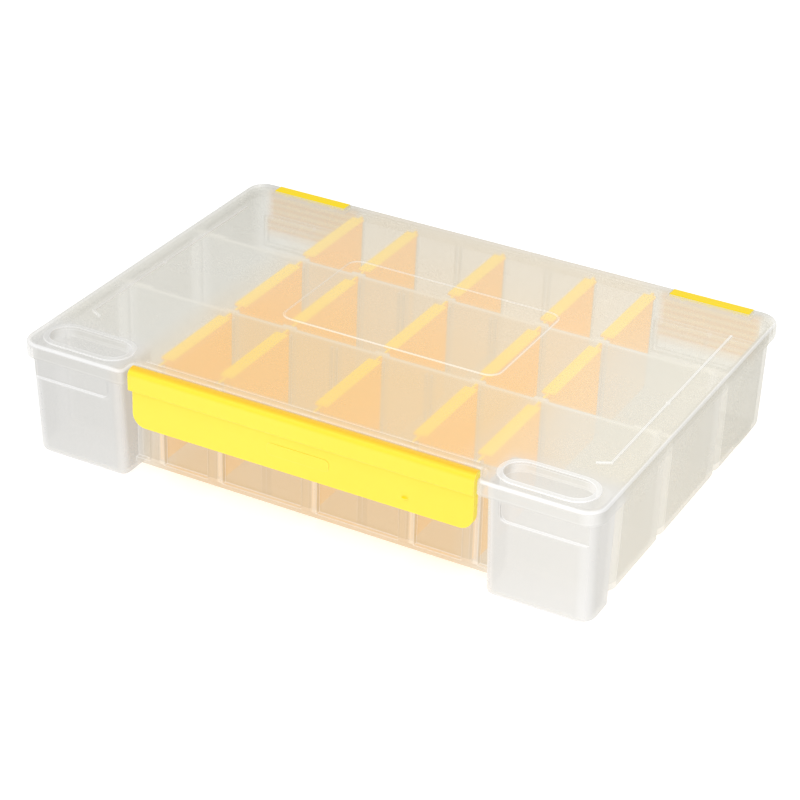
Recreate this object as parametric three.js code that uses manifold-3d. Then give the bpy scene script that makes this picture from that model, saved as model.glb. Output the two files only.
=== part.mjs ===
// Fishing tackle box: a shallow translucent box with a hinged lid, a full-width front latch,
// two rear hinge clips and fifteen lift-out dividers.
// Units are millimetres. Origin: centre of the footprint on the ground.
// +X to the right, +Y to the back, +Z up.
import * as THREE from 'three';
import { mergeVertices } from 'three/addons/utils/BufferGeometryUtils.js';
import Module from 'manifold-3d';

const wasm = await Module();
wasm.setup();

// ---------------------------------------------------------------- shared dimensions
const WALL = 1.8;               // tray walls and floor
const FLOOR_UNDER = 5.5;        // underside of the tray floor
const BAY_FLOOR = FLOOR_UNDER + WALL;
const RIM_TOP = 76;             // upper edge of the tray's outer walls
const CROSS_Y = [-32.5, 54.5];  // centres of the tray's fixed cross walls
const DIVIDER_X = [-107.5, -65.7, 0, 65.7, 107.5];
const RUN = 0.3;                // gap between neighbouring pieces

// bar on the lid's front edge that the latch snaps round
const LATCH_AXIS = { y: -131, z: 76.3 };
const LATCH_BAR_R = 1.8;

// bars on the tray's back wall that the hinge clips wrap round
const HINGE_AXIS = { y: 135.5, z: 51 };
const HINGE_BAR_R = 1.5;
const CLIP_X = 147.2;           // centre of each hinge clip
const CLIP_HALF = 27.2;         // half width of the strip on the lid
const PLATE_HALF = 32.4;        // half width of the plate and barrel below the skirt
const STUD_X = [-18, 0, 18];    // clip studs and lid holes, from the clip's centre
const STUD_Y = 132.4;

// ---------------------------------------------------------------- solids
function toSolid(geometry) {
  const bare = geometry.index ? geometry.toNonIndexed() : geometry.clone();
  bare.deleteAttribute('normal');
  bare.deleteAttribute('uv');
  const merged = mergeVertices(bare, 1e-3);
  return new wasm.Manifold(new wasm.Mesh({
    numProp: 3,
    vertProperties: new Float32Array(merged.attributes.position.array),
    triVerts: new Uint32Array(merged.index.array),
  }));
}

function toGeometry(solid) {
  const mesh = solid.getMesh();
  const indexed = new THREE.BufferGeometry();
  const positions = new Float32Array(mesh.vertProperties);
  indexed.setAttribute('position', new THREE.BufferAttribute(positions, 3));
  indexed.setIndex(new THREE.BufferAttribute(new Uint32Array(mesh.triVerts), 1));
  const flat = indexed.toNonIndexed();
  flat.computeVertexNormals();
  return flat;
}

// both take solids and lists of solids
const join = (...solids) => solids.flat().reduce((sum, next) => sum.add(next));
const cut = (solid, ...tools) => tools.flat().reduce((rest, tool) => rest.subtract(tool), solid);

// mirror image across x = 0, with each triangle's winding turned round
function mirrorX(solid) {
  const geometry = toGeometry(solid);
  const position = geometry.attributes.position;
  for (let i = 0; i < position.count; i += 3) {
    const [first, second, third] = [i, i + 1, i + 2].map(
      (k) => [-position.getX(k), position.getY(k), position.getZ(k)],
    );
    [first, third, second].forEach((vertex, k) => position.setXYZ(i + k, ...vertex));
  }
  return toSolid(geometry);
}
const bothSides = (solid) => [solid, mirrorX(solid)];

// ---------------------------------------------------------------- outlines, as lists of pairs
// closed outline through [x, y, radius] corners; seg is the number of steps in a quarter turn
function loop(corners, seg = 5) {
  const outline = [];
  const count = corners.length;
  corners.forEach(([x, y, radius], i) => {
    if (!radius) {
      outline.push([x, y]);
      return;
    }
    const before = corners[(i + count - 1) % count];
    const after = corners[(i + 1) % count];
    const toBefore = new THREE.Vector2(before[0] - x, before[1] - y).normalize();
    const toAfter = new THREE.Vector2(after[0] - x, after[1] - y).normalize();
    const half = Math.acos(THREE.MathUtils.clamp(toBefore.dot(toAfter), -1, 1)) / 2;
    const tangent = radius / Math.tan(half);
    const toCentre = toBefore.clone().add(toAfter).normalize()
      .multiplyScalar(radius / Math.sin(half));
    const centreX = x + toCentre.x;
    const centreY = y + toCentre.y;
    const angleTo = (side) => Math.atan2(
      y + side.y * tangent - centreY,
      x + side.x * tangent - centreX,
    );
    const start = angleTo(toBefore);
    let sweep = angleTo(toAfter) - start;
    while (sweep > Math.PI) sweep -= 2 * Math.PI;
    while (sweep < -Math.PI) sweep += 2 * Math.PI;
    const steps = Math.max(1, Math.round(Math.abs(sweep) / (Math.PI / 2) * seg));
    for (let k = 0; k <= steps; k++) {
      const angle = start + sweep * k / steps;
      outline.push([centreX + radius * Math.cos(angle), centreY + radius * Math.sin(angle)]);
    }
  });
  return outline;
}

const rect = (x0, y0, x1, y1, radius = 0, seg = 5) => loop(
  [[x0, y0, radius], [x1, y0, radius], [x1, y1, radius], [x0, y1, radius]],
  seg,
);
const insetRect = ([x0, y0, x1, y1, radius], inset) => rect(
  x0 + inset, y0 + inset, x1 - inset, y1 - inset, radius - inset,
);
const stadium = (x, y, width, height) => rect(
  x - width / 2, y - height / 2, x + width / 2, y + height / 2, height / 2 - 0.4, 6,
);

// [y, z] points on an arc, angles in degrees
const arc = (centre, radius, from, to, steps) => Array.from({ length: steps + 1 }, (_, k) => {
  const angle = THREE.MathUtils.degToRad(from + (to - from) * k / steps);
  return [centre.y + radius * Math.cos(angle), centre.z + radius * Math.sin(angle)];
});
const ringSector = ({ centre, inner, outer, from, to, innerSteps, outerSteps }) => [
  ...arc(centre, outer, from, to, outerSteps),
  ...arc(centre, inner, to, from, innerSteps),
];

// ---------------------------------------------------------------- basic shapes
// Each takes an optional move, (x, y, z) => [x, y, z], that shifts the vertices.
function movedSolid(geometry, move) {
  if (move) {
    const position = geometry.attributes.position;
    for (let i = 0; i < position.count; i++) {
      position.setXYZ(i, ...move(position.getX(i), position.getY(i), position.getZ(i)));
    }
  }
  return toSolid(geometry);
}

const extrude = (outline, depth, bevel = { bevelEnabled: false }) => new THREE.ExtrudeGeometry(
  new THREE.Shape(outline.map(([x, y]) => new THREE.Vector2(x, y))),
  { depth, ...bevel },
);

// straight prism along Z
function prism(outline, z0, z1) {
  return toSolid(extrude(outline, z1 - z0).translate(0, 0, z0));
}

// prism along X of a [y, z] outline
function alongX(outline, x0, x1) {
  const geometry = extrude(outline, x1 - x0);
  geometry.rotateX(Math.PI / 2);
  geometry.rotateZ(Math.PI / 2);
  geometry.translate(x0, 0, 0);
  return toSolid(geometry);
}

// prism along Y of an [x, z] outline
function alongY(outline, y0, y1, move) {
  const geometry = extrude(outline, y1 - y0);
  geometry.rotateX(Math.PI / 2);
  geometry.translate(0, y1, 0);
  return movedSolid(geometry, move);
}

// each argument is the [low, high] range on one axis
function box([x0, x1], [y0, y1], [z0, z1], move) {
  const geometry = new THREE.BoxGeometry(x1 - x0, y1 - y0, z1 - z0);
  geometry.translate((x0 + x1) / 2, (y0 + y1) / 2, (z0 + z1) / 2);
  return movedSolid(geometry, move);
}

// prism rounded at both ends; cup and cap each trim one end off square
function roundedPrism(outline, depth, startZ, radius, bevelSegments, move) {
  const geometry = extrude(outline, depth, {
    bevelEnabled: true,
    bevelThickness: radius,
    bevelSize: radius,
    bevelOffset: -radius,
    bevelSegments,
  });
  geometry.translate(0, 0, startZ);
  return movedSolid(geometry, move);
}
const trim = (z0) => box([-450, 450], [-450, 450], [z0, z0 + 60]);

// prism along Z whose lower edge is rounded
function cup(outline, z0, z1, radius, seg, move) {
  return cut(roundedPrism(outline, z1 - z0, z0 + radius, radius, seg, move), trim(z1));
}

// prism along Z whose upper edge is rounded
function cap(outline, z0, z1, radius, seg) {
  return cut(roundedPrism(outline, z1 - z0, z0 - radius, radius, seg), trim(z0 - 60));
}

function rodX({ y, z }, radius, x0, x1, seg) {
  const geometry = new THREE.CylinderGeometry(radius, radius, x1 - x0, seg);
  geometry.rotateZ(Math.PI / 2);
  geometry.translate((x0 + x1) / 2, y, z);
  return toSolid(geometry);
}

// cylinder with its axis along Z, placed by its centre
function rodZ({ at, radius, lowRadius = radius, height, seg, move }) {
  const geometry = new THREE.CylinderGeometry(radius, lowRadius, height, seg);
  geometry.rotateX(Math.PI / 2);
  geometry.translate(...at);
  return movedSolid(geometry, move);
}

// ---------------------------------------------------------------- base tray
const TRAY_X = 190.5;           // half width at the rim
const TRAY_BACK = 136.5;
const TRAY_MID_FRONT = -118;    // front wall between the towers
const INNER_X = TRAY_X - WALL;
const INNER_FRONT = TRAY_MID_FRONT + WALL;
const INNER_BACK = TRAY_BACK - WALL;
const CROSS_TOP = 77;           // upper edge of the cross walls
const TOWER_FRONT = -136.8;     // front face of the corner towers at the rim
const TOWER_IN = 122.6;         // inner side face of a tower
const TOWER_REAR = -102;
const TOWER_FLAT_REAR = -116;   // the flat underside of a tower ends here
const PLINTH_Z = [6.3, 9.8];
const FRONT_RELIEF = 3;         // pilasters and plinth stand this far off the front wall
const FOOT = [150, 99, 185.6, 133.2, 8]; // x0, y0, x1, y1, corner radius of the right foot
const FOOT_WALL = 2;
const SCALLOP_R = 6;
const SCALLOP_TOP = 66;         // centre of the dome that ends a scallop
const SPARE_SLOT_X = [-33, 33];
const RIB_THICK = 1.2;
const RIB_OFFSET = 1.75;        // slot centre to rib centre
const RIB_TOP = 72;
const HIGH_RIB_TOP = 75.4;
const SHORT_RIB = 1.9;          // reach of a rib from its wall
const LONG_RIB = 3.6;
const DIP = { depth: 1.4, clearOfSlot: 3.6, halfLength: 1.6 };
const POCKET_X = [CLIP_X - PLATE_HALF - 1.6, CLIP_X + PLATE_HALF + 1.6]; // right hinge pocket
const LUG_R = 3;

// inward lean at height z of a wall that leans by draft between the rim and its foot
const lean = (draft, foot = FLOOR_UNDER) => (z) => draft * (RIM_TOP - z) / (RIM_TOP - foot);
const sideLean = lean(0.6);
const backLean = lean(2.3);
const frontLean = lean(1.0);
const towerLean = lean(5.6, 0);
const crossLean = (z) => 0.16 * backLean(z);

const frontMove = (x, y, z) => [x, y + frontLean(z), z];
const backMove = (x, y, z) => [x, y - backLean(z), z];
const bodyMove = (x, y, z) => [
  x - Math.sign(x) * sideLean(z),
  y > 60 ? y - backLean(z) : y + frontLean(z),
  z,
];
const towerMove = (x, y, z) => [
  x > 150 ? x - sideLean(z) : x + 0.4 * sideLean(z),
  y < -119 ? y + towerLean(z) : y,
  z,
];

function bayMove(x, y, z) {
  const movedX = Math.abs(x) > 150 ? x - Math.sign(x) * sideLean(z) : x;
  if (y > 100) return [movedX, y - backLean(z), z];
  if (y < -110) return [movedX, y + frontLean(z), z];
  const crossY = CROSS_Y.find((centre) => Math.abs(y - centre) < 12);
  if (crossY === undefined) return [movedX, y, z];
  return [movedX, y + Math.sign(y - crossY) * crossLean(z), z];
}

// outer shape: main body, corner towers, and pilasters and plinth on the front wall
function trayBlock() {
  const body = cup(loop([
    [-TRAY_X, TRAY_MID_FRONT, 4], [TRAY_X, TRAY_MID_FRONT, 4],
    [TRAY_X, TRAY_BACK, 11], [-TRAY_X, TRAY_BACK, 11],
  ]), FLOOR_UNDER, CROSS_TOP, 3.5, 3, bodyMove);
  const tower = cup(loop([
    [TOWER_IN, TOWER_FRONT, 6], [TRAY_X, TOWER_FRONT, 10],
    [TRAY_X, TOWER_REAR + 1, 5], [TOWER_IN, TOWER_REAR + 1, 5],
  ]), 0, CROSS_TOP, 3.2, 3, towerMove);
  const frontY = TRAY_MID_FRONT - FRONT_RELIEF;
  const buriedY = TRAY_MID_FRONT + 3;
  const pilasters = DIVIDER_X.map((x) => cup(loop([
    [x - 5.7, frontY, 1.2], [x + 5.7, frontY, 1.2], [x + 5.7, buriedY, 0], [x - 5.7, buriedY, 0],
  ], 2), PLINTH_Z[0], CROSS_TOP, 1.0, 1, frontMove));
  const plinthHalf = TOWER_IN + 2;
  const plinthOutline = rect(-plinthHalf, frontY, plinthHalf, buriedY, 1.2, 2);
  const plinth = cup(plinthOutline, ...PLINTH_Z, 1.0, 2, frontMove);
  return join(body, bothSides(tower), pilasters, plinth);
}

// wedge that makes the towers' undersides rise to meet the floor
function undersideWedge() {
  const rear = TOWER_REAR + 2.6;
  return alongX([
    [TOWER_FLAT_REAR, -2], [TOWER_FLAT_REAR, 0], [rear, FLOOR_UNDER + 0.6], [rear, -2],
  ], -210, 210);
}

// ring wall under the floor
const makeFoot = () => cut(
  prism(insetRect(FOOT, 0), 0, FLOOR_UNDER + 1),
  prism(insetRect(FOOT, FOOT_WALL), -1, FLOOR_UNDER + 0.6),
);

// cutter for a domed scallop down the right side wall
function makeScallop(y) {
  const x = TRAY_X + 1.6;
  const length = 80;
  const move = (px, py, z) => [px - sideLean(z), py, z];
  const at = [x, y, SCALLOP_TOP - length / 2];
  const shaft = rodZ({ at, radius: SCALLOP_R, height: length, seg: 16, move });
  const dome = new THREE.SphereGeometry(SCALLOP_R, 16, 10);
  dome.rotateX(Math.PI / 2);
  dome.translate(x, y, SCALLOP_TOP);
  return join(shaft, movedSolid(dome, move));
}

// cutters for the three open bays between the cross walls
function makeBays() {
  const half = WALL / 2;
  const bay = (outline) => cup(outline, BAY_FLOOR, 90, 2.6, 2, bayMove);
  const towerSide = TOWER_IN - 0.2;
  const towerBack = TOWER_REAR + WALL;
  const front = bay(loop([
    [-towerSide, INNER_FRONT, 3], [towerSide, INNER_FRONT, 3],
    [towerSide, towerBack, 3], [INNER_X, towerBack, 10],
    [INNER_X, CROSS_Y[0] - half, 11], [-INNER_X, CROSS_Y[0] - half, 11],
    [-INNER_X, towerBack, 10], [-towerSide, towerBack, 3],
  ], 4));
  const middle = bay(rect(-INNER_X, CROSS_Y[0] + half, INNER_X, CROSS_Y[1] - half, 11, 4));
  const back = bay(rect(-INNER_X, CROSS_Y[1] + half, INNER_X, INNER_BACK, 11, 4));
  // material left standing round the hinge pockets
  const [x0, x1] = POCKET_X;
  const pocketBlocks = [[x0 - 1.9, x1 + 1.9], [-x1 - 1.9, -x0 + 1.9]].map(
    (rangeX) => box(rangeX, [130, 150], [35.8, 59.2]),
  );
  return [front, middle, cut(back, pocketBlocks)];
}

// cutter for the inside of the right tower, kept clear of the finger band and the underside
function makeTowerHollow() {
  const innerSide = TOWER_IN + WALL - 0.2;
  const front = TOWER_FRONT + WALL;
  const rear = TOWER_REAR - WALL;
  const flatRear = TOWER_FLAT_REAR - 1;
  const slopeRear = TOWER_REAR + 3;
  return cut(
    cup(loop([
      [innerSide, front, 4.5], [INNER_X, front, 8], [INNER_X, rear, 9], [innerSide, rear, 5],
    ], 4), WALL, 90, 3, 2, towerMove),
    alongY(rect(130, 52.4, 200, 71, 6, 4), -150, -131.6),
    alongX([
      [flatRear, 0], [flatRear, WALL], [slopeRear, FLOOR_UNDER + 2.6], [slopeRear, 0],
    ], 100, 200),
  );
}

// cutter for the finger band across the right tower's front; its bottom slopes with the tower
function makeFingerBand() {
  const move = (x, y, z) => (y > -140 ? [x, y + 0.0737 * (68.5 - z), z] : [x, y, z]);
  return alongY(rect(132.2, 54.4, 205, 69, 4.5, 4), -150, -134.0, move);
}

// cutter that takes the outer walls down below the cross walls
const rimCutter = () => cut(
  box([-220, 220], [-160, 160], [RIM_TOP, 95]),
  prism(rect(-184.5, -98, 184.5, 132, 10), 60, 96),
);

// cutters for the shallow dips in the cross walls' tops, between the dividers' slots
function makeDips() {
  const ends = [-TRAY_X + 22, ...DIVIDER_X, TRAY_X - 22];
  const bottom = CROSS_TOP - DIP.depth;
  return CROSS_Y.flatMap((y) => ends.slice(1).map((end, i) => {
    const x0 = ends[i] + (i > 0 ? DIP.clearOfSlot : 0);
    const x1 = end - (i + 2 < ends.length ? DIP.clearOfSlot : 0);
    return alongY(
      [[x0, 80], [x0 + DIP.depth, bottom], [x1 - DIP.depth, bottom], [x1, 80]],
      y - DIP.halfLength, y + DIP.halfLength,
    );
  }));
}

// paired ribs that hold the dividers, on both faces of every wall they meet
function makeSlotRibs() {
  const half = WALL / 2;
  const ribPair = (x, rangeY, top, move) => [-1, 1].map((side) => {
    const centre = x + side * RIB_OFFSET;
    const rangeX = [centre - RIB_THICK / 2, centre + RIB_THICK / 2];
    return box(rangeX, rangeY, [BAY_FLOOR - 0.8, top], move);
  });
  return [...DIVIDER_X, ...SPARE_SLOT_X].flatMap((x) => {
    const high = DIVIDER_X.includes(x) ? HIGH_RIB_TOP : RIB_TOP;
    return [
      ...ribPair(x, [INNER_FRONT - 0.9, INNER_FRONT + LONG_RIB], high, frontMove),
      ...CROSS_Y.flatMap((y) => [
        ...ribPair(x, [y - half - SHORT_RIB, y], RIB_TOP),
        ...ribPair(x, [y, y + half + LONG_RIB], high),
      ]),
      ...ribPair(x, [INNER_BACK - SHORT_RIB, INNER_BACK + 0.9], RIB_TOP, backMove),
    ];
  });
}

// front flange with a turned-down lip, behind the latch
const makeFrontFlange = () => alongX([
  [-130, 48], [-128.2, 48], [-128.2, 64.5], [-116.8, 64.5],
  [-116.8, 66.3], [-129.2, 66.3], [-130, 65.5],
], -111.2, 111.2);

// pocket in the back wall between x0 and x1, with a bar between lugs
function addHingePocket(body, x0, x1) {
  const pocket = alongX([
    [131.8, 40], [133, 37.6], [145, 36], [145, 58.5], [133, 57.4], [131.8, 55.6],
  ], x0, x1);
  const { y, z } = HINGE_AXIS;
  const lug = (from, to) => join(
    rodX(HINGE_AXIS, LUG_R, from, to, 20),
    box([from, to], [131.2, y], [z - LUG_R, z + LUG_R]),
  );
  const middle = (x0 + x1) / 2;
  return join(
    cut(body, pocket),
    lug(x0 - 2.2, x0 + 0.6),
    lug(x1 - 0.6, x1 + 2.2),
    lug(middle - 1.1, middle + 1.1),
    rodX(HINGE_AXIS, HINGE_BAR_R, x0 - 0.5, x1 + 0.5, 16),
  );
}

function makeTray() {
  let body = cut(trayBlock(), undersideWedge());
  body = join(body, bothSides(makeFoot()));
  // the scallops face the towers' rear walls and the cross walls
  const scallops = [TOWER_REAR, ...CROSS_Y].map(makeScallop);
  body = cut(body, scallops, scallops.map(mirrorX));
  body = cut(body, makeBays(), bothSides(makeTowerHollow()));
  body = cut(body, bothSides(makeFingerBand()), rimCutter(), makeDips());
  body = join(body, makeSlotRibs(), makeFrontFlange());
  const [x0, x1] = POCKET_X;
  body = addHingePocket(body, x0, x1);
  return addHingePocket(body, -x1, -x0);
}

// ---------------------------------------------------------------- lid
const LID_HALF_X = 388 / 2;     // over the skirt
const LID_HALF_Y = 280 / 2;
const LID_TOP = 80;
const SKIRT_BOTTOM = 70;
const LID_WALL = 2.0;
const LID_CORNER = 13;
const LID_EDGE = 3;             // rounding of the upper edge
const NOTCH_HALF = 118.0;       // half width of the notch in the front edge
const NOTCH_Y = -126.2;         // front edge of the plate behind the latch
const GUTTER_HALF = 114.2;
const RECESS = { x: 154.4, y: -120.2 };
const LABEL_FRAME = [-76, -30, 76, 66, 9]; // x0, y0, x1, y1, corner radius
const LABEL_FRAME_WIDTH = 1.3;

// rectangle with a wide notch in its front edge
function lidOutline(inset, mouthRadius, notchRadius, seg) {
  const x = LID_HALF_X - inset;
  const y = LID_HALF_Y - inset;
  const corner = LID_CORNER - inset;
  const notchX = NOTCH_HALF + inset;
  const notchY = NOTCH_Y + inset;
  return loop([
    [-x, -y, corner], [-notchX, -y, mouthRadius], [-notchX, notchY, notchRadius],
    [notchX, notchY, notchRadius], [notchX, -y, mouthRadius], [x, -y, corner],
    [x, y, corner], [-x, y, corner],
  ], seg);
}

const lidShell = () => cut(
  cap(lidOutline(0, 4, 3.2, 6), SKIRT_BOTTOM, LID_TOP, LID_EDGE, 4),
  cap(lidOutline(LID_WALL, 2, 4, 5), SKIRT_BOTTOM - 5, LID_TOP - LID_WALL, 1.4, 2),
);

// gutter along the front edge that carries the latch bar
function makeGutter() {
  const rangeX = [-GUTTER_HALF, GUTTER_HALF];
  return [
    box(rangeX, [NOTCH_Y, NOTCH_Y + 2], [68.9, 78.6]),
    box(rangeX, [-131.9, NOTCH_Y + 1.9], [68.9, 70.7]),
    box(rangeX, [-131.9, -130.1], [69.4, LATCH_AXIS.z]),
    rodX(LATCH_AXIS, LATCH_BAR_R, ...rangeX, 18),
  ];
}

// low bead behind the latch
const makeLidBead = () => alongX(loop([
  [-122.6, 79, 0], [-121.2, 79, 0], [-121.2, 80.55, 0.5], [-122.6, 80.55, 0.5],
], 2), -112, 112);

// stadium recess over a corner tower, with a raised border and tapered walls
function addRecess(lid, side) {
  const x = side * RECESS.x;
  const { y } = RECESS;
  const taper = (px, py, z) => {
    const shift = Math.max(0, 79 - z) * 0.08;
    return [px - Math.sign(px - x) * shift, py - Math.sign(py - y) * shift, z];
  };
  return cut(
    join(
      lid,
      prism(stadium(x, y, 58.4, 25.8), 72.9, 79),
      cap(stadium(x, y, 62.2, 29.2), 78.5, 80.9, 0.8, 2),
    ),
    cup(stadium(x, y, 55.4, 22.4), 74.7, 90, 1.6, 2, taper),
  );
}

// seat for a hinge clip in the back edge, with holes for its studs
function addClipSeat(lid, side) {
  const centre = side * CLIP_X;
  const rangeX = (margin) => [centre - CLIP_HALF - margin, centre + CLIP_HALF + margin];
  return cut(
    join(lid, box(rangeX(1.8), [128.4, 137.6], [76.5, 78.6])),
    box(rangeX(0.5), [129.9, 150], [77.8, 90]),
    box(rangeX(0.5), [137.9, 150], [60, 79]),
    STUD_X.map((x) => rodZ({ at: [centre + x, STUD_Y, 78], radius: 2.3, height: 8, seg: 14 })),
  );
}

// stacking rib near one side, with an inward hook at its front end and a knob on it
function makeStackingRib(side) {
  const outline = [
    [177.2, -85.0], [177.2, 96], [175.8, 96], [175.8, -84.2], [168.3, -88.4], [168.8, -89.6],
  ].map(([x, y]) => [side * x, y]);
  const at = [side * 176.5, -4, 80.2];
  return [
    prism(outline, 79.2, 81),
    rodZ({ at, radius: 1.3, lowRadius: 1.6, height: 1.5, seg: 12 }),
  ];
}

// plain label frame in the middle of the lid
const makeLabelFrame = () => cut(
  cap(insetRect(LABEL_FRAME, 0), 79.2, 80.6, 0.4, 1),
  prism(insetRect(LABEL_FRAME, LABEL_FRAME_WIDTH), LID_TOP, 90),
);

function makeLid() {
  const sides = [-1, 1];
  let lid = join(lidShell(), makeGutter(), makeLidBead());
  lid = sides.reduce(addRecess, lid);
  lid = sides.reduce(addClipSeat, lid);
  return join(lid, sides.flatMap(makeStackingRib), makeLabelFrame());
}

// ---------------------------------------------------------------- front latch
const LATCH_HALF = 116.2;       // half width at the hood and band
const LATCH_END = 1.5;          // thickness of the hood's closed ends
const PANEL_HALF = 115.2;
const PANEL_FRONT = -133.7;
const HOOD_AXIS = { y: -132.2, z: 75.5 };
const SNAP_RIB_X = [-104, -62, -21, 21, 62, 104];
const SNAP_RIB_HALF = 2;

// hood, band and shoulder in one section, with closed ends; all outlines are [y, z]
function makeHood() {
  const outside = [
    [-137, 66.6], [-137, 75.5],
    ...arc(HOOD_AXIS, 4.8, 180, 90, 7).slice(1),
    [-130.5, 80.3], [-129.9, 80.05], [-129.7, 79.6],
  ];
  const section = [
    ...outside,
    [-130.0, 79.0], [-132.0, 78.7],
    ...arc(HOOD_AXIS, 3.2, 90, 180, 5),
    [-135.4, 67.6], [-132.1, 67.6], [-132.1, 65.6], [-136, 65.6],
  ];
  const end = [...outside, [-129.4, 76.5], [-131.0, 70.5], [-131.0, 65.6], [-136, 65.6]];
  return join(
    alongX(section, -LATCH_HALF, LATCH_HALF),
    alongX(end, -LATCH_HALF, -LATCH_HALF + LATCH_END),
    alongX(end, LATCH_HALF - LATCH_END, LATCH_HALF),
  );
}

// lower panel with returned side and lower edges
function makePanel() {
  const outline = (inset, radius, top, seg) => {
    const x = PANEL_HALF - inset;
    const low = 40.9 + inset;
    return loop([[-x, low, radius], [x, low, radius], [x, top, 0], [-x, top, 0]], seg);
  };
  return cut(
    alongY(outline(0, 9, 67, 6), PANEL_FRONT, -128.8),
    alongY(outline(2, 7.2, 70, 5), -132.1, -120),
    // the lower return is short, so that it clears the tray's lip
    alongY(rect(-111.6, 38, 111.6, 60), -130.8, -120),
    box([-PANEL_HALF - 1, PANEL_HALF + 1], [-134, -120], [66.4, 72]),
  );
}

// catch bead across the inside of the panel
const makeCatchBead = () => alongX([
  [-132.4, 44.6], [-130.9, 45.2], [-130.8, 46.0], [-130.9, 46.8], [-132.4, 47.4],
], -108, 108);

// ribs inside the hood, wrapped round the lid's bar
function makeSnapRibs() {
  const wrap = ringSector({
    centre: LATCH_AXIS,
    inner: LATCH_BAR_R + RUN,
    outer: 3.6,
    from: 42,
    to: 238,
    innerSteps: 14,
    outerSteps: 14,
  });
  return SNAP_RIB_X.flatMap((x) => {
    const rangeX = [x - SNAP_RIB_HALF, x + SNAP_RIB_HALF];
    return [alongX(wrap, ...rangeX), box(rangeX, [-136, -134.0], [73.5, 78.0])];
  });
}

function makeLatch() {
  // blank raised pad in the middle of the panel
  const pad = alongY(rect(-21, 50.2, 21, 58.2, 3, 4), -134.15, -133.2);
  // thin disc with its axis along Z, set into the panel low on the right
  const at = [71.3, PANEL_FRONT - 0.05, 49.6];
  const gateMark = rodZ({ at, radius: 1.9, lowRadius: 2.1, height: 0.5, seg: 18 });
  return join(makeHood(), makePanel(), makeCatchBead(), makeSnapRibs(), pad, gateMark);
}

// ---------------------------------------------------------------- hinge clips
const CLIP_RIB_Z = [57.6, 62.4, 67.2]; // centres of the stiffening ribs across the plate
const CLIP_RIB_HALF = 0.8;
const CLIP_RIB_Y = [136.9, 138.6];

function makeClip() {
  const bore = HINGE_BAR_R + RUN;
  const plateX = [-PLATE_HALF, PLATE_HALF];
  const shellX = [-CLIP_HALF, CLIP_HALF];
  // [y, z] points at the plate's foot, shared by the plate and the shell
  const foot = [[137.0, 52], [137.0, 49.5], [138.6, 49.5], [138.7, 51]];
  const plate = alongX([[138.16, 69.4], ...foot, [139.96, 69.4]], ...plateX);
  const shell = alongX([
    [130.2, 78.1], [138.2, 78.1], [138.2, 70],
    ...foot,
    [140, 70], [140, 78.2], [139.5, 79.4], [138.3, 80], [131.4, 80], [130.5, 79.5],
  ], ...shellX);
  const barrel = alongX(ringSector({
    centre: HINGE_AXIS,
    inner: bore,
    outer: 3.2,
    from: -150,
    to: 130,
    innerSteps: 16,
    outerSteps: 18,
  }), ...plateX);
  const { z } = HINGE_AXIS;
  const bored = cut(
    join(shell, plate, barrel),
    rodX(HINGE_AXIS, bore, -PLATE_HALF - 1, PLATE_HALF + 1, 20),
    // gap for the middle lug
    box([-1.6, 1.6], [130, 140.5], [z - 5, z + 5.8]),
  );
  const rib = (rangeX, centreZ) => box(
    rangeX, CLIP_RIB_Y, [centreZ - CLIP_RIB_HALF, centreZ + CLIP_RIB_HALF],
  );
  return join(
    bored,
    CLIP_RIB_Z.map((ribZ) => rib(plateX, ribZ)),
    rib(shellX, 72.2),
    // studs that press into the lid
    STUD_X.map((x) => rodZ({ at: [x, STUD_Y, 77.65], radius: 2.0, height: 1.9, seg: 14 })),
  );
}

// ---------------------------------------------------------------- dividers
const DIVIDER_THICK = 1.6;
const DIVIDER_TOP = 76.5;
const FLANGE_W = 9.0;

// front and back: [y at the top, y at the foot] of the blade's ends
// insets: how far the flange stops short of the blade's front and back ends
function makeDivider({ front, back, insets }) {
  const foot = BAY_FLOOR + RUN;
  const bladeTop = DIVIDER_TOP - 0.8;
  const blade = alongX(loop([
    [front[1], foot, 4], [back[1], foot, 4], [back[0], bladeTop, 0.8], [front[0], bladeTop, 0.8],
  ], 3), -DIVIDER_THICK / 2, DIVIDER_THICK / 2);
  const y0 = front[0] + insets[0];
  const y1 = back[0] - insets[1];
  const flangeOutline = rect(-FLANGE_W / 2, y0, FLANGE_W / 2, y1, 0.9, 2);
  const flange = cap(flangeOutline, DIVIDER_TOP - 1.5, DIVIDER_TOP, 0.6, 2);
  // a pip at each corner of the flange
  const pips = [y0 + 1.9, y1 - 1.9].flatMap((y) => [-3.1, 3.1].map((x) => cap(
    rect(x - 0.7, y - 0.9, x + 0.7, y + 0.9, 0.3, 1),
    DIVIDER_TOP - 0.6, DIVIDER_TOP + 0.45, 0.25, 1,
  )));
  return join(blade, flange, pips);
}

// ends of a blade that meet the front or the back face of a cross wall
const beforeCross = (y) => [y - 1.4, y - 1.8];
const behindCross = (y) => [y + 1.4, y + 1.8];

const makeDividerRow = () => ({
  front: makeDivider({
    front: [-115.7, -114.7], back: beforeCross(CROSS_Y[0]), insets: [8.4, 7.6],
  }),
  middle: makeDivider({
    front: behindCross(CROSS_Y[0]), back: beforeCross(CROSS_Y[1]), insets: [7.6, 8.4],
  }),
  rear: makeDivider({
    front: behindCross(CROSS_Y[1]), back: [134.2, 131.9], insets: [5.4, 5.2],
  }),
});

// ---------------------------------------------------------------- materials
const plastic = (options) => new THREE.MeshStandardMaterial({ metalness: 0, ...options });
const milky = () => plastic({
  color: 0xe6e6df, roughness: 0.34, transparent: true, opacity: 0.45,
});
const yellow = () => plastic({ color: 0xffe93a, roughness: 0.38 });
const amber = () => plastic({ color: 0xfbc65a, roughness: 0.42 });

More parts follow.
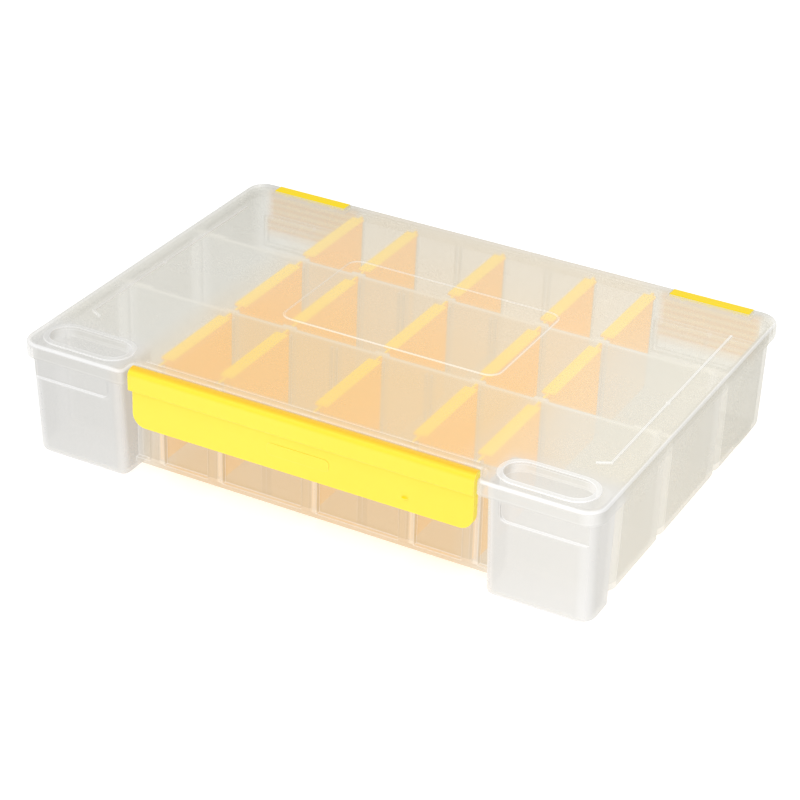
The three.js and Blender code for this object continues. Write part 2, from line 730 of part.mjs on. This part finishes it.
// ---------------------------------------------------------------- assembly
function piece(name, solid, material, x = 0) {
  const mesh = new THREE.Mesh(toGeometry(solid), material);
  mesh.name = name;
  mesh.position.x = x;
  return mesh;
}

const group = new THREE.Group();
group.name = 'tackle_box';
group.add(piece('base_tray', makeTray(), milky()));

const lidGroup = new THREE.Group();
const clip = makeClip();
lidGroup.add(
  piece('lid', makeLid(), milky()),
  piece('hinge_clip_left', clip, yellow(), -CLIP_X),
  piece('hinge_clip_right', clip, yellow(), CLIP_X),
  piece('front_latch', makeLatch(), yellow()),
);
group.add(lidGroup);

const dividers = new THREE.Group();
const dividerRow = Object.entries(makeDividerRow());
DIVIDER_X.forEach((x, i) => {
  for (const [place, solid] of dividerRow) {
    dividers.add(piece(`divider_${place}_${i + 1}`, solid, amber(), x));
  }
});
group.add(dividers);

export default group;
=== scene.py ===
"""Fishing tackle box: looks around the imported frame."""
import bpy, bmesh, math
from mathutils import Vector, Matrix


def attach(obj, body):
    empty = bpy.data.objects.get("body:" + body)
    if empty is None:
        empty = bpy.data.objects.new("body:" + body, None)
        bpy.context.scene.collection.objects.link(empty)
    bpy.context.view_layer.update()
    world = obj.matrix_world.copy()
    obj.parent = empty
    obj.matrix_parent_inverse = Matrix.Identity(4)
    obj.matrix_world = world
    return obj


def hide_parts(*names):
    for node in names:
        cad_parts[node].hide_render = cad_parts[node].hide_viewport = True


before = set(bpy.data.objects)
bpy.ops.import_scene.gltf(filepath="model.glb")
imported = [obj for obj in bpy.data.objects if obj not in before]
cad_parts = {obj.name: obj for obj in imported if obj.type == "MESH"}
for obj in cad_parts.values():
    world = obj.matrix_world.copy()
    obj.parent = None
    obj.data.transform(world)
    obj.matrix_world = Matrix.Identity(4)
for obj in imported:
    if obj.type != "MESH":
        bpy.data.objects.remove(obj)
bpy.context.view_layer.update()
MM = 0.001
sc = bpy.context.scene


# ------------------------------------------------------------------ node helpers
class Nodes:
    def __init__(self, name):
        self.mat = bpy.data.materials.new(name)
        self.mat.use_nodes = True
        self.t = self.mat.node_tree
        self.t.nodes.clear()

    def add(self, kind, **props):
        n = self.t.nodes.new(kind)
        inputs = props.pop("inputs", {})
        for k, v in props.items():
            setattr(n, k, v)
        for k, v in inputs.items():
            self.put(n, k, v)
        return n

    def put(self, n, key, v):
        s = n.inputs[key]
        if isinstance(v, bpy.types.NodeSocket):
            self.t.links.new(v, s)
        elif isinstance(v, bpy.types.Node):
            self.t.links.new(v.outputs[0], s)
        else:
            s.default_value = v

    def math(self, op, a, b=None, c=None, clamp=False):
        n = self.add("ShaderNodeMath", operation=op, use_clamp=clamp)
        self.put(n, 0, a)
        if b is not None:
            self.put(n, 1, b)
        if c is not None:
            self.put(n, 2, c)
        return n.outputs[0]

    def noise(self, scale, detail=3.0, rough=0.5, vec=None, lac=2.0):
        n = self.add("ShaderNodeTexNoise", inputs={"Scale": scale, "Detail": detail, "Roughness": rough, "Lacunarity": lac})
        if vec is not None:
            self.put(n, "Vector", vec)
        return n.outputs["Fac"]

    def ramp(self, fac, lo, hi, a=0.0, b=1.0):
        n = self.add("ShaderNodeMapRange", clamp=True, inputs={"Value": fac, "From Min": lo, "From Max": hi, "To Min": a, "To Max": b})
        return n.outputs[0]

    def mixrgb(self, fac, a, b):
        n = self.add("ShaderNodeMix", data_type="RGBA")
        self.put(n, 0, fac)
        self.put(n, 6, a)
        self.put(n, 7, b)
        return n.outputs[2]

    def edge(self, radius, lo=0.02, hi=0.25):
        bev = self.add("ShaderNodeBevel", samples=4, inputs={"Radius": radius})
        geo = self.add("ShaderNodeNewGeometry")
        dot = self.add("ShaderNodeVectorMath", operation="DOT_PRODUCT")
        self.put(dot, 0, bev.outputs[0])
        self.put(dot, 1, geo.outputs["Normal"])
        return self.ramp(self.math("SUBTRACT", 1.0, dot.outputs["Value"]), lo, hi)

    def coords(self):
        return self.add("ShaderNodeTexCoord").outputs["Object"]

    def done(self, shader):
        out = self.add("ShaderNodeOutputMaterial")
        self.t.links.new(shader if isinstance(shader, bpy.types.NodeSocket) else shader.outputs[0], out.inputs["Surface"])
        return self.mat


def lit(m, normal, towards, lo, hi):
    """A soft light term from the normal alone: lo facing away from the light, hi facing it."""
    v = Vector(towards).normalized()
    dot = m.add("ShaderNodeVectorMath", operation="DOT_PRODUCT")
    m.put(dot, 0, normal)
    dot.inputs[1].default_value = v
    return m.ramp(dot.outputs["Value"], -1.0, 1.0, lo, hi)


def milky(name, clear, tint=(0.84, 0.835, 0.79), warm=(0.87, 0.815, 0.69), scatter=0.86, carry=0.93, lo=0.50, hi=1.0, bleed=1.0,
          peach=(0.93, 0.66, 0.38), haze=0.0, raised=None, soft=0.45, cross=(), dense=0.0, slant=(-0.10, 0.03), posts=(), thick=0.12):
    """Milky translucent polypropylene. clear is the share of light that passes one skin straight through. Its shading
    is painted: a glow set by the way each skin faces, painted highlights and shade by position and normal, and a
    painted amber glow from the dividers.
    """
    m = Nodes(name)
    co = m.coords()
    geo = m.add("ShaderNodeNewGeometry")
    normal = geo.outputs["Normal"]
    at = m.add("ShaderNodeSeparateXYZ", inputs={"Vector": co})
    cloud = m.noise(14.0, 2.0, 0.5, co)
    flow_map = m.add("ShaderNodeMapping", inputs={"Vector": co, "Scale": (9.0, 26.0, 9.0)})
    flow = m.noise(1.6, 3.0, 0.55, flow_map.outputs[0])
    grain = m.noise(900.0, 1.0, 0.5, co)
    ripple = m.noise(26.0, 0.0, 0.5, co)
    scuff_map = m.add("ShaderNodeMapping", inputs={"Vector": co, "Rotation": (0.0, 0.0, 0.55), "Scale": (40.0, 900.0, 200.0)})
    scuff = m.ramp(m.noise(2.0, 3.0, 0.6, scuff_map.outputs[0]), 0.64, 0.78)
    bump = m.add("ShaderNodeBump", inputs={"Strength": 0.05, "Distance": 0.0010, "Height": ripple})
    # edges: painted highlight, pale, where they face the light, painted shade, greyer, where they face away
    bev = m.add("ShaderNodeBevel", samples=4, inputs={"Radius": 0.0011})
    dot = m.add("ShaderNodeVectorMath", operation="DOT_PRODUCT")
    m.put(dot, 0, bev.outputs[0]); m.put(dot, 1, normal)
    edge = m.ramp(m.math("SUBTRACT", 1.0, dot.outputs["Value"]), 0.02, 0.25)
    toward = m.add("ShaderNodeVectorMath", operation="DOT_PRODUCT")
    m.put(toward, 0, bev.outputs[0])
    toward.inputs[1].default_value = Vector((0.35, -0.62, 0.70)).normalized()
    edge_highlight = m.math("MULTIPLY", edge, m.ramp(toward.outputs["Value"], 0.25, 0.85))
    edge_shade = m.math("MULTIPLY", edge, m.ramp(toward.outputs["Value"], 0.25, -0.35))
    lw = m.add("ShaderNodeLayerWeight", inputs={"Blend": 0.5})
    facing = m.math("POWER", lw.outputs["Facing"], 2.2)
    colour = m.mixrgb(m.math("ADD", m.ramp(flow, 0.25, 0.8, 0.0, 0.25), m.ramp(at.outputs[0], -0.05, 0.17, 0.0, 0.60)), (*tint, 1), (*warm, 1))
    ax = m.math("ABSOLUTE", at.outputs[0])
    # the thick front corners look cooler and denser than the rest
    corners = m.math("MULTIPLY", m.ramp(ax, 0.119, 0.123), m.ramp(at.outputs[1], -0.094, -0.108))
    colour = m.mixrgb(m.math("MULTIPLY", corners, 0.70), colour, (0.850, 0.848, 0.855, 1))
    # painted show-through: the yellow clips behind the back wall are painted into its colour, striped at the heights of
    # the clip's ribs
    clipped = m.math("MULTIPLY", m.math("MULTIPLY", m.ramp(ax, 0.110, 0.115), m.ramp(ax, 0.184, 0.179)),
                     m.math("MULTIPLY", m.ramp(at.outputs[1], 0.122, 0.128), m.ramp(at.outputs[2], 0.0785, 0.0755)))
    clipped = m.math("MULTIPLY", clipped, m.ramp(at.outputs[2], 0.042, 0.050))
    wave = m.math("SINE", m.math("MULTIPLY", m.math("SUBTRACT", at.outputs[2], 0.0564), 1309.0))
    shown = m.mixrgb(m.ramp(wave, -0.6, 0.6), (0.93, 0.55, 0.26, 1), (1.0, 0.74, 0.42, 1))
    colour = m.mixrgb(m.math("MULTIPLY", clipped, 0.95), colour, shown)
    # fixed cross walls
    walls = None
    for cy in cross:
        w = m.ramp(m.math("ABSOLUTE", m.math("SUBTRACT", at.outputs[1], cy)), 0.0028, 0.0020)
        walls = w if walls is None else m.math("MAXIMUM", walls, w)
    # painted glow: the amber dividers' light is painted into the plastic's colour around the five middle rows, most of
    # all towards the front
    amber = m.ramp(m.math("ABSOLUTE", at.outputs[0]), 0.094, 0.130, bleed, 0.0)
    amber = m.math("MULTIPLY", amber, m.ramp(at.outputs[1], -0.06, 0.11, 1.0, 0.36))
    amber = m.math("MULTIPLY", amber, m.ramp(m.noise(18.0, 2.0, 0.5, co), 0.3, 0.7, 0.9, 1.0))
    # painted shade: the box grows dimmer towards its back
    dim = m.math("MULTIPLY", m.ramp(at.outputs[1], 0.02, 0.135, 0.0, 0.38), m.math("SUBTRACT", 1.0, m.math("MULTIPLY", clipped, 0.9)))
    colour = m.mixrgb(dim, colour, (0.56, 0.56, 0.50, 1))
    # painted shade: the far edges of the plate turn away from the light
    far = m.math("MAXIMUM", m.ramp(at.outputs[1], 0.1364, 0.1388), m.ramp(at.outputs[0], -0.1908, -0.1930, 0.0, 0.45))
    far = m.math("MULTIPLY", m.math("MULTIPLY", far, m.ramp(at.outputs[2], 0.0745, 0.0765)), m.math("SUBTRACT", 1.0, corners))
    colour = m.mixrgb(m.math("MULTIPLY", far, 0.75), colour, (0.45, 0.45, 0.42, 1))
    # no painted amber glow on a lid that stands open, away from the dividers
    place = m.add("ShaderNodeSeparateXYZ", inputs={"Vector": geo.outputs["Position"]})
    amber = m.math("MULTIPLY", amber, m.math("MULTIPLY", m.ramp(place.outputs[2], 0.083, 0.120, 1.0, 0.0), m.ramp(place.outputs[1], 0.142, 0.160, 1.0, 0.0)))
    colour = m.mixrgb(amber, colour, (*peach, 1))
    n3 = m.add("ShaderNodeSeparateXYZ", inputs={"Vector": normal})
    front = m.ramp(n3.outputs[1], -0.3, -0.8)
    side_ = m.ramp(m.math("ABSOLUTE", n3.outputs[0]), 0.5, 0.9)
    # painted shade: side walls darken towards the back, the wall under the latch lies in its shade
    colour = m.mixrgb(m.math("MULTIPLY", side_, m.ramp(at.outputs[1], -0.13, 0.13, 0.05, 0.68)), colour, (0.67, 0.635, 0.51, 1))
    under = m.math("MULTIPLY", m.math("MULTIPLY", front, m.ramp(ax, 0.121, 0.117)), m.math("MULTIPLY", m.ramp(at.outputs[2], 0.060, 0.050), m.ramp(at.outputs[1], -0.100, -0.110)))
    colour = m.mixrgb(m.math("MULTIPLY", under, 0.38), colour, (0.62, 0.50, 0.36, 1))
    colour = m.mixrgb(m.math("MULTIPLY", edge_highlight, 0.85), colour, (1.0, 1.0, 0.985, 1))
    colour = m.mixrgb(m.math("MULTIPLY", edge_shade, 0.5), colour, (0.60, 0.60, 0.57, 1))
    rough = m.math("ADD", m.ramp(cloud, 0.3, 0.7, 0.24, 0.34), m.math("MULTIPLY", scuff, 0.12))
    rough = m.math("ADD", rough, m.ramp(grain, 0.3, 0.7, -0.03, 0.03))
    # moulded roundings: painted highlight where the light gathers in those that face it, painted shade on those that
    # face away
    slope = m.math("MULTIPLY", m.ramp(n3.outputs[2], 0.12, 0.45), m.ramp(n3.outputs[2], 0.985, 0.82))
    slope = m.math("MULTIPLY", slope, m.ramp(at.outputs[2], 0.0755, 0.0765))
    # the lips behind the latch are shaded by it
    tucked = m.math("MULTIPLY", m.ramp(ax, 0.1185, 0.1165), m.ramp(at.outputs[1], -0.117, -0.119))
    slope = m.math("MULTIPLY", slope, m.math("SUBTRACT", 1.0, m.math("MULTIPLY", tucked, 0.65)))
    # painted highlight on the ledge of the finger recess
    ledge = m.math("MULTIPLY", m.math("MULTIPLY", corners, m.ramp(n3.outputs[2], 0.4, 0.8)), m.math("MULTIPLY", m.ramp(at.outputs[2], 0.0530, 0.0536), m.ramp(at.outputs[2], 0.0590, 0.0575)))
    # painted highlight on upright rounded corners
    corner = m.math("MULTIPLY", m.math("ABSOLUTE", m.math("MULTIPLY", n3.outputs[0], n3.outputs[1])), 1.6, clamp=True)
    aim = m.add("ShaderNodeVectorMath", operation="DOT_PRODUCT")
    m.put(aim, 0, normal)
    aim.inputs[1].default_value = Vector((0.45, -0.62, 0.64)).normalized()
    lip = m.math("MULTIPLY", slope, m.ramp(aim.outputs["Value"], 0.30, 0.75))
    shy = m.math("MULTIPLY", slope, m.ramp(aim.outputs["Value"], 0.30, -0.15))
    # painted glow on faces that look down, most of all at the front corners, as if lit from the ground
    foot = m.ramp(n3.outputs[2], -0.12, -0.6)
    foot = m.math("MULTIPLY", foot, m.math("ADD", 0.15, m.math("MULTIPLY", corners, 0.85)))
    painted_glow = m.math("MAXIMUM", m.math("MAXIMUM", lip, m.math("MULTIPLY", corner, 0.55)), m.math("MULTIPLY", foot, 0.8))
    painted_glow = m.math("MAXIMUM", painted_glow, m.math("MULTIPLY", ledge, 0.8))
    # painted highlight: light gathers in the right half of each pilaster, a fainter one along its left edge
    for px in posts:
        off = m.math("SUBTRACT", at.outputs[0], px)
        stripe = m.math("MULTIPLY", m.ramp(off, 0.0012, 0.0030), m.ramp(off, 0.0066, 0.0056))
        stripe = m.math("MULTIPLY", stripe, m.math("MULTIPLY", m.ramp(at.outputs[1], -0.1178, -0.1184), m.math("MULTIPLY", front, m.ramp(at.outputs[2], 0.0095, 0.0105))))
        left = m.math("MULTIPLY", m.ramp(off, -0.0068, -0.0063), m.ramp(off, -0.0048, -0.0053))
        left = m.math("MULTIPLY", left, m.math("MULTIPLY", m.ramp(at.outputs[1], -0.1178, -0.1184), m.math("MULTIPLY", front, m.ramp(at.outputs[2], 0.0095, 0.0105))))
        painted_glow = m.math("MAXIMUM", painted_glow, m.math("MAXIMUM", m.math("MULTIPLY", stripe, 0.62), m.math("MULTIPLY", left, 0.35)))
    path = m.add("ShaderNodeLightPath")
    seen = m.math("MAXIMUM", m.math("MAXIMUM", path.outputs["Is Camera Ray"], path.outputs["Is Glossy Ray"]), path.outputs["Is Transmission Ray"])
    # painted shading: the light held inside the plastic is painted as a glow by the way its skin faces, brighter
    # towards the right and on the front corners
    shade = lit(m, normal, (-0.2, -0.75, 0.55), lo, hi)
    shade = m.math("MULTIPLY", shade, m.ramp(at.outputs[0], -0.19, 0.19, 0.96, 1.05))
    shade = m.math("MULTIPLY", shade, m.math("ADD", 1.0, m.math("MULTIPLY", m.math("MULTIPLY", front, corners), m.ramp(at.outputs[0], -0.19, 0.19, *slant))))
    # painted shade: side walls grow dimmer towards the back; painted glow: the feet of the front corners catch light
    # from the ground
    shade = m.math("MULTIPLY", shade, m.math("SUBTRACT", 1.0, m.math("MULTIPLY", side_, m.ramp(at.outputs[1], -0.09, 0.13, 0.02, 0.10))))
    shade = m.math("ADD", shade, m.math("MULTIPLY", m.math("MULTIPLY", front, corners), m.ramp(at.outputs[2], 0.024, 0.002, 0.0, 0.06)))
    up = None
    if raised is not None:
        # painted highlight: ribs and beads stand above the plate and catch the light
        up = m.ramp(at.outputs[2], raised, raised + 0.0004)
        up = m.math("MULTIPLY", up, m.ramp(at.outputs[0], -0.19, 0.17, 0.35, 0.85))
        up = m.math("MULTIPLY", up, m.ramp(ax, 0.08, 0.11, 0.5, 1.0))
        up = m.math("MULTIPLY", up, m.math("SUBTRACT", 1.0, m.math("MULTIPLY", tucked, 0.5)))
        colour = m.mixrgb(m.math("MULTIPLY", up, 0.75), colour, (1.0, 1.0, 0.99, 1))
        shade = m.math("ADD", shade, m.math("MULTIPLY", up, 0.12))
    shade = m.math("ADD", shade, m.math("MULTIPLY", edge_highlight, 0.12))
    # painted highlights take a warmer colour over the amber glow; roundings that face away from the light take painted
    # shade
    gleam = m.mixrgb(m.math("MULTIPLY", amber, 0.75), (0.985, 0.985, 1.0, 1), (1.0, 0.86, 0.66, 1))
    colour = m.mixrgb(m.math("MULTIPLY", painted_glow, 0.8), colour, gleam)
    colour = m.mixrgb(m.math("MULTIPLY", shy, 0.45), colour, (0.56, 0.56, 0.52, 1))
    shade = m.math("ADD", shade, m.math("MULTIPLY", painted_glow, 0.20))
    if walls is not None:
        # painted highlight along the tops of the cross walls, which glow a little brighter as a whole
        top_ = m.math("MULTIPLY", walls, m.ramp(at.outputs[2], 0.0735, 0.0752))
        colour = m.mixrgb(m.math("MULTIPLY", top_, 0.6), colour, (1.0, 0.96, 0.86, 1))
        shade = m.math("ADD", shade, m.math("ADD", m.math("MULTIPLY", walls, 0.02), m.math("MULTIPLY", top_, 0.06)))
    held = m.add("ShaderNodeEmission", inputs={"Color": colour, "Strength": shade})
    diffuse = m.add("ShaderNodeBsdfDiffuse", inputs={"Color": colour, "Roughness": 0.6, "Normal": normal})
    veil = m.add("ShaderNodeMixShader")
    # only the outermost skin is shaded and mirrors the room; the skins behind it add their held light alone
    first = m.math("MULTIPLY", m.math("LESS_THAN", path.outputs["Transparent Depth"], 0.5), m.math("LESS_THAN", path.outputs["Ray Depth"], 0.5))
    share = m.math("SUBTRACT", 1.0, m.math("MULTIPLY", first, 1.0 - scatter))
    m.put(veil, 0, m.math("MULTIPLY", seen, share)); m.put(veil, 1, diffuse); m.put(veil, 2, held)
    pass_ = m.add("ShaderNodeBsdfTransparent", inputs={"Color": (0.975, 0.97, 0.95, 1)})
    if haze > 0:
        # what lies further below the plate blurs more
        blur = m.add("ShaderNodeBsdfRefraction", inputs={"Color": (0.985, 0.98, 0.965, 1), "Roughness": soft, "IOR": 1.16})
        mist = m.add("ShaderNodeMixShader")
        m.put(mist, 0, m.math("MULTIPLY", first, haze)); m.put(mist, 1, pass_); m.put(mist, 2, blur)
        pass_ = mist
    k = m.math("MULTIPLY", m.math("SUBTRACT", 1.0, m.math("MULTIPLY", facing, 0.55)), clear)
    k = m.math("MULTIPLY", k, m.math("SUBTRACT", 1.0, m.math("MULTIPLY", edge, 0.5)))
    k = m.math("MULTIPLY", k, m.math("SUBTRACT", 1.0, m.math("MULTIPLY", painted_glow, 0.45)))
    if up is not None:
        k = m.math("MULTIPLY", k, m.math("SUBTRACT", 1.0, m.math("MULTIPLY", up, 0.45)))
    k = m.math("MULTIPLY", k, m.ramp(cloud, 0.25, 0.75, 1.01, 0.985))
    k = m.math("MULTIPLY", k, m.math("SUBTRACT", 1.0, m.math("MULTIPLY", corners, dense)))
    # the plastic is made denser where the painted amber glow lies
    k = m.math("MULTIPLY", k, m.math("SUBTRACT", 1.0, m.math("MULTIPLY", amber, thick)))
    k = m.math("ADD", k, m.math("MULTIPLY", clipped, m.math("SUBTRACT", 0.36, k)))
    k = m.math("MULTIPLY", k, m.math("SUBTRACT", 1.0, m.math("MULTIPLY", far, 0.55)))
    if walls is not None:
        crown = m.math("MULTIPLY", walls, m.ramp(at.outputs[2], 0.0735, 0.0752))
        k = m.math("MULTIPLY", k, m.math("SUBTRACT", 1.0, m.math("MAXIMUM", m.math("MULTIPLY", walls, 0.28), m.math("MULTIPLY", crown, 0.6))))
    # milky plastic scatters light onwards: rays that only carry light pass more freely than sight does
    k = m.math("ADD", m.math("MULTIPLY", k, seen), m.math("MULTIPLY", carry, m.math("SUBTRACT", 1.0, seen)))
    body = m.add("ShaderNodeMixShader")
    m.put(body, 0, k); m.put(body, 1, veil); m.put(body, 2, pass_)
    gloss = m.add("ShaderNodeBsdfGlossy", inputs={"Color": (1, 1, 1, 1), "Roughness": rough, "Normal": bump})
    fres = m.add("ShaderNodeFresnel", inputs={"IOR": 1.49, "Normal": bump})
    top = m.add("ShaderNodeMixShader")
    m.put(top, 0, m.math("MULTIPLY", m.math("MULTIPLY", fres.outputs[0], 0.9), m.math("MULTIPLY", seen, first))); m.put(top, 1, body); m.put(top, 2, gloss)
    return m.done(top)


def moulded(name, colour, deep, sss=0.12, rough=0.34, glow=0.0, side=None, top=None, top_z=None, band=None, held=(0.75, 1.15)):
    """Opaque moulded plastic with fine texture, flow marks and a painted highlight along its edges."""
    m = Nodes(name)
    co = m.coords()
    grain = m.noise(2200.0, 2.0, 0.6, co)
    ripple = m.noise(60.0, 2.0, 0.5, co)
    cloud = m.noise(11.0, 3.0, 0.55, co)
    scuff_map = m.add("ShaderNodeMapping", inputs={"Vector": co, "Rotation": (0.3, 0.2, 0.4), "Scale": (30.0, 700.0, 500.0)})
    scuff = m.ramp(m.noise(2.2, 4.0, 0.62, scuff_map.outputs[0]), 0.66, 0.8)
    edge = m.edge(0.0009)
    base = m.mixrgb(m.ramp(cloud, 0.32, 0.72, 0.0, 0.55), (*colour, 1), (*deep, 1))
    # painted shade: upright faces take a deeper, shaded colour
    if side is not None:
        geo = m.add("ShaderNodeNewGeometry")
        z = m.add("ShaderNodeSeparateXYZ", inputs={"Vector": geo.outputs["Normal"]})
        base = m.mixrgb(m.ramp(z.outputs[2], 0.1, 0.7, 1.0, 0.0), base, (*side, 1))
    if band is not None:
        # faces that tilt upward, such as the shoulder of the hood, take a deeper colour
        nz = m.add("ShaderNodeSeparateXYZ", inputs={"Vector": m.add("ShaderNodeNewGeometry").outputs["Normal"]}).outputs[2]
        base = m.mixrgb(m.ramp(nz, 0.12, 0.60), base, (*band, 1))
    # painted shade: faces that look up take a darker, deeper colour
    if top is not None:
        geo = m.add("ShaderNodeNewGeometry")
        z = m.add("ShaderNodeSeparateXYZ", inputs={"Vector": geo.outputs["Normal"]})
        share = m.ramp(z.outputs[2], 0.72, 0.97, 0.0, 1.0)
        if top_z is not None:
            share = m.math("MULTIPLY", share, m.ramp(m.add("ShaderNodeSeparateXYZ", inputs={"Vector": co}).outputs[2], top_z, top_z + 0.001))
        base = m.mixrgb(share, base, (*top, 1))
    # painted highlight: a paler colour along the edges
    pale = tuple(min(1.0, c * 0.75 + 0.25) for c in colour)
    base = m.mixrgb(m.math("MULTIPLY", edge, 0.35), base, (*pale, 1))
    height = m.math("ADD", m.math("MULTIPLY", grain, 0.10), m.math("MULTIPLY", ripple, 0.35))
    bump = m.add("ShaderNodeBump", inputs={"Strength": 0.18, "Distance": 0.0009, "Height": height})
    r = m.math("ADD", m.ramp(cloud, 0.3, 0.7, rough - 0.04, rough + 0.06), m.math("MULTIPLY", scuff, 0.14))
    p = m.add("ShaderNodeBsdfPrincipled", inputs={
        "Base Color": base, "Roughness": r, "IOR": 1.49, "Normal": bump,
        "Subsurface Weight": sss, "Subsurface Radius": (1.0, 0.6, 0.15), "Subsurface Scale": 0.002,
    })
    if glow <= 0:
        return m.done(p)
    # painted glow: the plastic glows as if lit from above, by the way its faces look
    tr = m.add("ShaderNodeEmission", inputs={"Color": base, "Strength": lit(m, geo.outputs["Normal"], (0.2, -0.25, 0.95), *held)})
    mix = m.add("ShaderNodeMixShader", inputs={"Fac": glow})
    m.put(mix, 1, p); m.put(mix, 2, tr)
    return m.done(mix)


MAT_LID = milky("milky_lid", 0.83, bleed=0.90, peach=(0.97, 0.71, 0.37), haze=0.13, raised=0.0801, soft=0.36, dense=0.10, slant=(-0.05, 0.13))
MAT_TRAY = milky("milky_tray", 0.68, scatter=0.86, cross=(-0.0325, 0.0545), dense=0.30, posts=(-0.1075, -0.0657, 0.0, 0.0657, 0.1075), thick=0.28, peach=(0.95, 0.66, 0.36))
MAT_LATCH = moulded("yellow_latch", (0.98, 0.81, 0.068), (0.96, 0.77, 0.055), sss=0.15, top=(0.97, 0.60, 0.015), top_z=0.0775, band=(1.0, 0.80, 0.012))
MAT_CLIP = moulded("yellow_clip", (0.98, 0.78, 0.030), (0.94, 0.70, 0.025), sss=0.0, glow=0.5, held=(0.85, 1.05), top=(0.95, 0.70, 0.0))
MAT_DIV = moulded("amber_divider", (1.0, 0.69, 0.025), (1.0, 0.66, 0.020), sss=0.0, rough=0.4, glow=0.62, side=(1.0, 0.54, 0.10), held=(0.85, 1.55))


# ------------------------------------------------------------------ pieces
def refine(node, mat, body, bevel=0.0, angle=38, min_len=2.5, segs=2):
    """A clean copy of a frame node: merged, coplanar faces dissolved, long sharp edges rounded, smooth shaded."""
    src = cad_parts[node]
    me = src.data.copy()
    me.name = node + "_fine"
    bm = bmesh.new()
    bm.from_mesh(me)
    bmesh.ops.remove_doubles(bm, verts=bm.verts, dist=4e-6)
    bmesh.ops.dissolve_degenerate(bm, edges=bm.edges, dist=2e-6)
    bmesh.ops.dissolve_limit(bm, angle_limit=math.radians(0.6), verts=bm.verts, edges=bm.edges, use_dissolve_boundaries=False)
    if bevel > 0:
        edges = [e for e in bm.edges if len(e.link_faces) == 2 and e.calc_face_angle(0) > math.radians(angle) and e.calc_length() > min_len * MM]
        bmesh.ops.bevel(bm, geom=edges, offset=bevel * MM, segments=segs, profile=0.5, affect="EDGES", clamp_overlap=False, loop_slide=True)
        bmesh.ops.remove_doubles(bm, verts=bm.verts, dist=3e-6)
    bmesh.ops.recalc_face_normals(bm, faces=bm.faces)
    for f in bm.faces:
        f.smooth = True
    for e in bm.edges:
        if len(e.link_faces) == 2 and e.calc_face_angle(0) > math.radians(42):
            e.smooth = False
    bm.to_mesh(me)
    bm.free()
    me.materials.clear()
    me.materials.append(mat)
    ob = bpy.data.objects.new(node + "_fine", me)
    sc.collection.objects.link(ob)
    wn = ob.modifiers.new("weighted", "WEIGHTED_NORMAL")
    wn.keep_sharp = True
    wn.weight = 60
    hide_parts(node)
    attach(ob, body)
    return ob


tray = refine("base_tray", MAT_TRAY, "base", bevel=0.0)
lid = refine("lid", MAT_LID, "lid", bevel=0.0)
latch = refine("front_latch", MAT_LATCH, "latch", bevel=0.18)
for s in ("left", "right"):
    refine("hinge_clip_" + s, MAT_CLIP, "lid", bevel=0.25)
for row in ("front", "middle", "rear"):
    for i in range(1, 6):
        refine(f"divider_{row}_{i}", MAT_DIV, "base", bevel=0.25)

# ------------------------------------------------------------------ stage
bpy.ops.mesh.primitive_plane_add(size=8, location=(0, 0, -0.0004))
floor = bpy.context.object
floor.name = "floor"
fm = Nodes("pale_floor")
fco = fm.coords()
fcol = fm.mixrgb(fm.noise(2.0, 2.0, 0.5, fco), (0.70, 0.70, 0.70, 1), (0.73, 0.73, 0.728, 1))
fd = fm.add("ShaderNodeBsdfDiffuse", inputs={"Color": fcol})
fe = fm.add("ShaderNodeEmission", inputs={"Color": fcol, "Strength": 0.72})
fs = fm.add("ShaderNodeAddShader")
fm.put(fs, 0, fd); fm.put(fs, 1, fe)
floor.data.materials.append(fm.done(fs))

world = bpy.data.worlds.new("studio")
sc.world = world
world.use_nodes = True
world.node_tree.nodes["Background"].inputs[0].default_value = (1, 1, 1, 1)
world.node_tree.nodes["Background"].inputs[1].default_value = 0.78


def area(name, loc, target, size, power, colour=(1, 1, 1)):
    d = bpy.data.lights.new(name, "AREA")
    d.shape = "RECTANGLE"
    d.size, d.size_y = size
    d.energy = power
    d.color = colour
    o = bpy.data.objects.new(name, d)
    sc.collection.objects.link(o)
    o.location = loc
    o.rotation_euler = (Vector(target) - Vector(loc)).to_track_quat("-Z", "Y").to_euler()
    return o


area("key", (-0.5, -1.2, 1.4), (0, 0, 0.03), (1.2, 1.2), 7.5)
area("fill", (1.6, -0.3, 1.0), (0, 0, 0.03), (1.2, 1.2), 3.5)
area("back", (0.2, 1.6, 1.2), (0, 0, 0.05), (2.0, 0.8), 4)

# ------------------------------------------------------------------ camera
az, el, roll = math.radians(27.493), math.radians(29.272), math.radians(2.115)
back = Vector((math.sin(az) * math.cos(el), -math.cos(az) * math.cos(el), math.sin(el)))
right = (-back).cross(Vector((0, 0, 1))).normalized()
up = right.cross(-back)
r = right * math.cos(roll) + up * math.sin(roll)
u = up * math.cos(roll) - right * math.sin(roll)
cam_data = bpy.data.cameras.new("camera")
cam_data.sensor_width = 36.0
cam_data.lens = 111.38
cam = bpy.data.objects.new("camera", cam_data)
sc.collection.objects.link(cam)
cam.matrix_world = Matrix(((r.x, u.x, back.x, 0.6245), (r.y, u.y, back.y, -1.2071), (r.z, u.z, back.z, 0.7902), (0, 0, 0, 1)))
sc.camera = cam

sc.view_settings.view_transform = "Standard"
sc.cycles.transparent_max_bounces = 40
sc.cycles.max_bounces = 10
sc.cycles.diffuse_bounces = 5
sc.cycles.transmission_bounces = 6
sc.cycles.sample_clamp_indirect = 6.0

bpy.context.view_layer.update()
